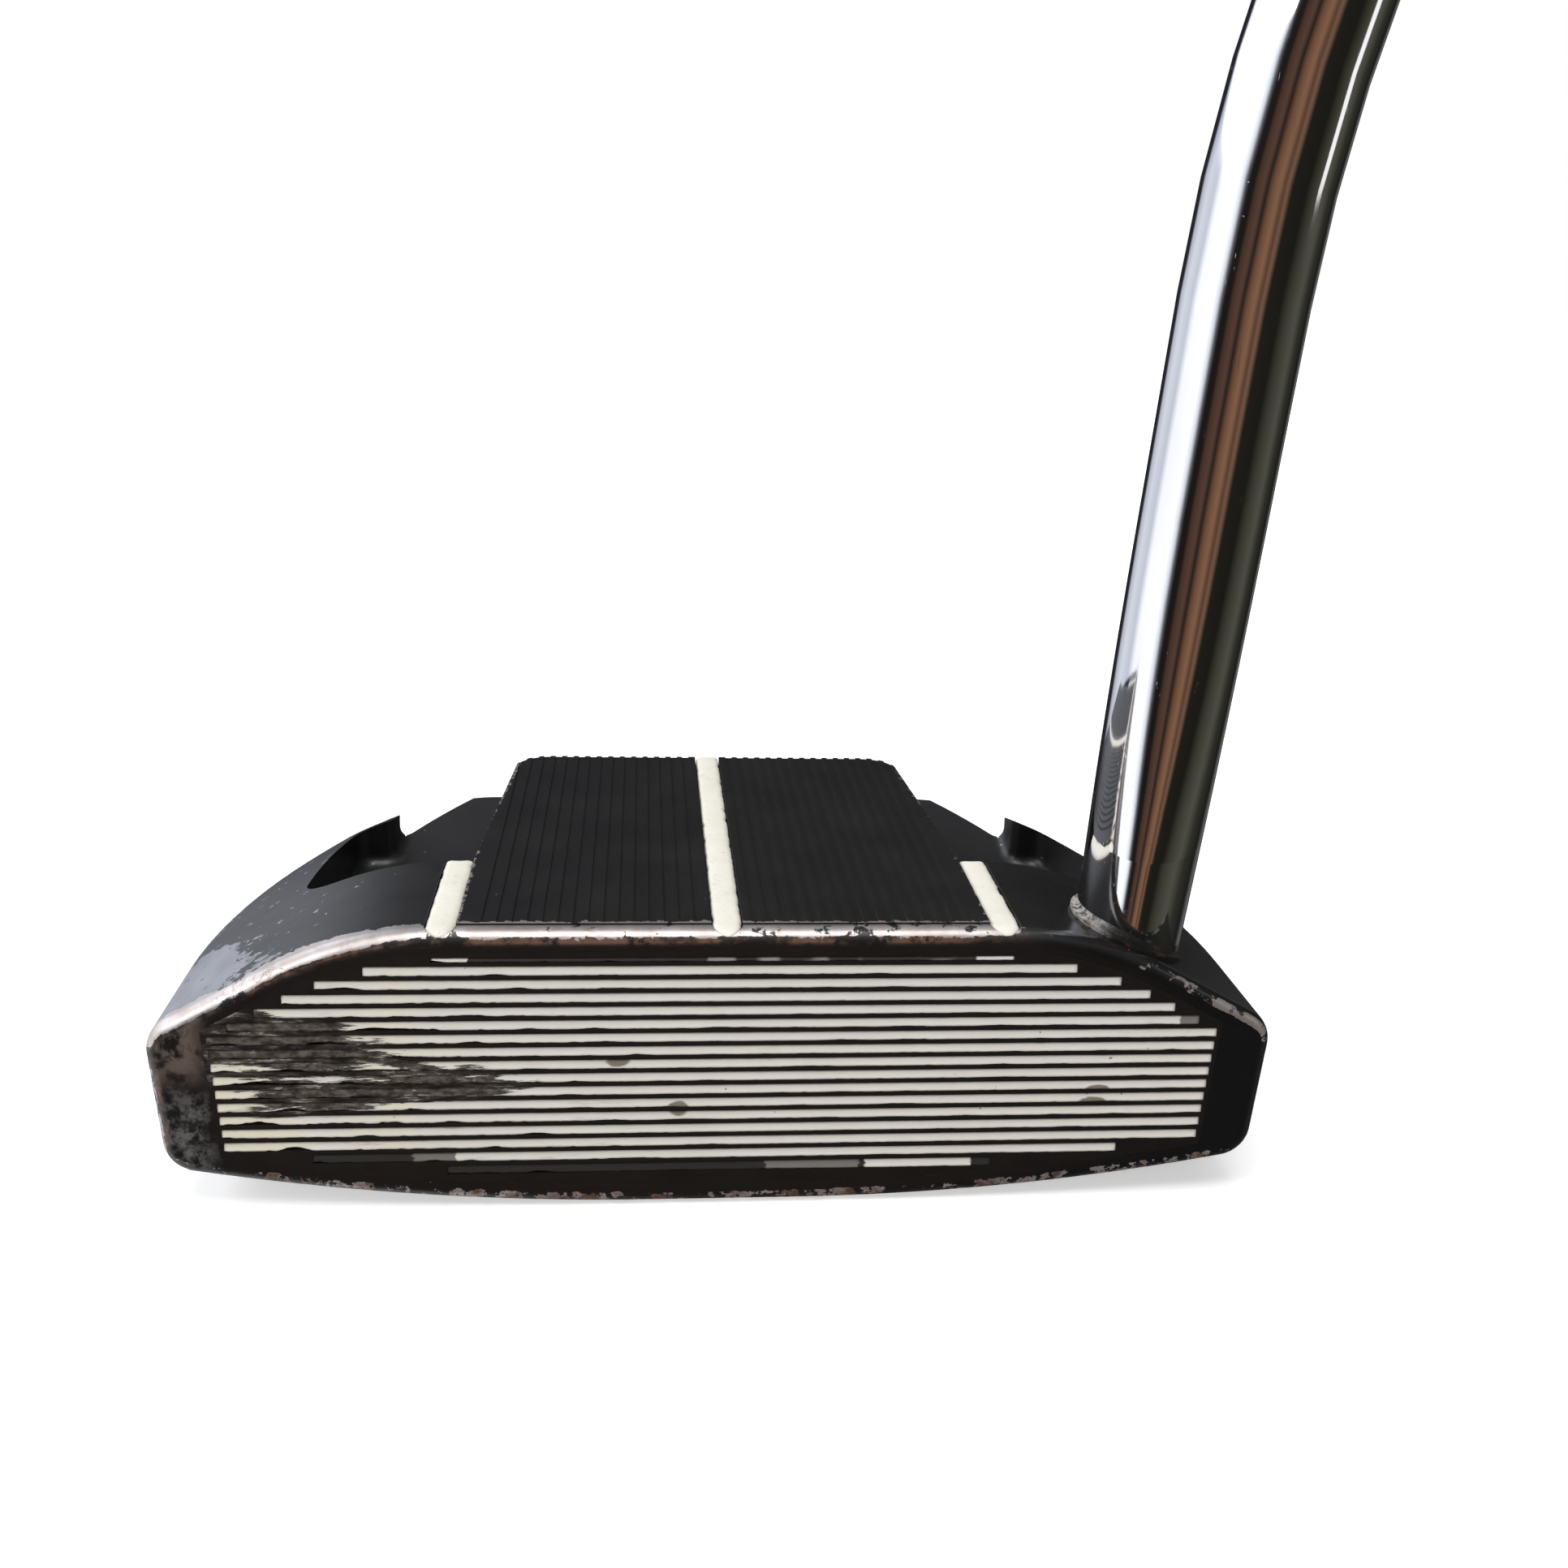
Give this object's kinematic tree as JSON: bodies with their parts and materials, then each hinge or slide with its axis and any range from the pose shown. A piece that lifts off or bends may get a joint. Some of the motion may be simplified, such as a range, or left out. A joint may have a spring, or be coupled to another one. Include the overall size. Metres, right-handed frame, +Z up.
{
  "type": "mallet putter",
  "caption": "Golf putter with a black half-round mallet head, grooved face insert, alignment lines, double-bend chrome shaft and rubber grip.",
  "frame": {"origin": "middle of the flat strip along the sole, under the front bar of the head, 10 mm behind the face", "axes": "+Z up at address, +X from toe to heel, -Y the way the face looks"},
  "size_m": [0.3474, 0.0758, 0.8194],
  "materials": {
    "black_head": "satin",
    "insert_plate": "satin",
    "bond": "matte",
    "groove_polymer": "satin",
    "line_paint": "satin",
    "shaft_chrome": "polished",
    "grip_rubber": "matte",
    "tape": "matte",
    "cap_rubber": "satin"
  },
  "bodies": {
    "root": {"head_body": "black_head", "face_insert": "insert_plate", "insert_adhesive": "bond", "shaft": "shaft_chrome", "shaft_epoxy": "bond", "grip": "grip_rubber", "grip_tape": "tape", "grip_end_cap": "cap_rubber", "groove_fill_00": "groove_polymer", "groove_fill_01": "groove_polymer", "groove_fill_02": "groove_polymer", "groove_fill_03": "groove_polymer", "groove_fill_04": "groove_polymer", "groove_fill_05": "groove_polymer", "groove_fill_06": "groove_polymer", "groove_fill_07": "groove_polymer", "groove_fill_08": "groove_polymer", "groove_fill_09": "groove_polymer", "groove_fill_10": "groove_polymer", "groove_fill_11": "groove_polymer", "groove_fill_12": "groove_polymer", "groove_fill_13": "groove_polymer", "groove_fill_14": "groove_polymer", "groove_fill_15": "groove_polymer", "groove_fill_16": "groove_polymer", "alignment_line_toe": "line_paint", "alignment_line_centre": "line_paint", "alignment_line_heel": "line_paint"}
  },
  "joints": []
}
